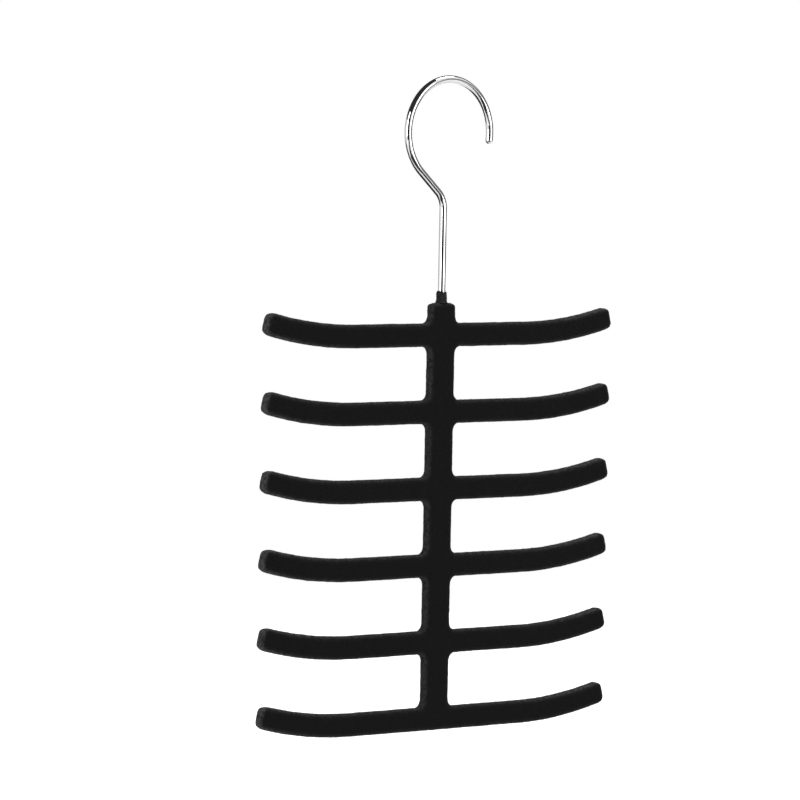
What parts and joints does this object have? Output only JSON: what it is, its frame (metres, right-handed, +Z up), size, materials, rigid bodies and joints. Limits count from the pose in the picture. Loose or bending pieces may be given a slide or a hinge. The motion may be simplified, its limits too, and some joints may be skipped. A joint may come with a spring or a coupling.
{
  "type": "tie hanger",
  "caption": "Flat flocked hanger with upturned arms in tiers on a central spine, hung from a rail by a swivelling wire hook, for ties and scarves",
  "frame": {"origin": "inner apex of the hook, where it rests on the rail", "axes": "+Z up along the swivel axis, +X along the arms, +Y out of the hanger's face at the back"},
  "size_m": [0.2134, 0.0056, 0.3117],
  "materials": {
    "moulded_core": "plain, as moulded",
    "flock": "short velvet pile",
    "wire": "polished plate"
  },
  "bodies": {
    "hook": {"swivel_hook": "wire", "neck_cuff": "flock"},
    "hanger": {"moulded_frame": "moulded_core", "flock_coat": "flock"}
  },
  "joints": [
    {"name": "hook_swivel", "type": "hinge", "parent": "hook", "child": "hanger", "pos_m": [-0.0028, 0, -0.1042], "axis": [0, 0, 1], "continuous": true}
  ]
}
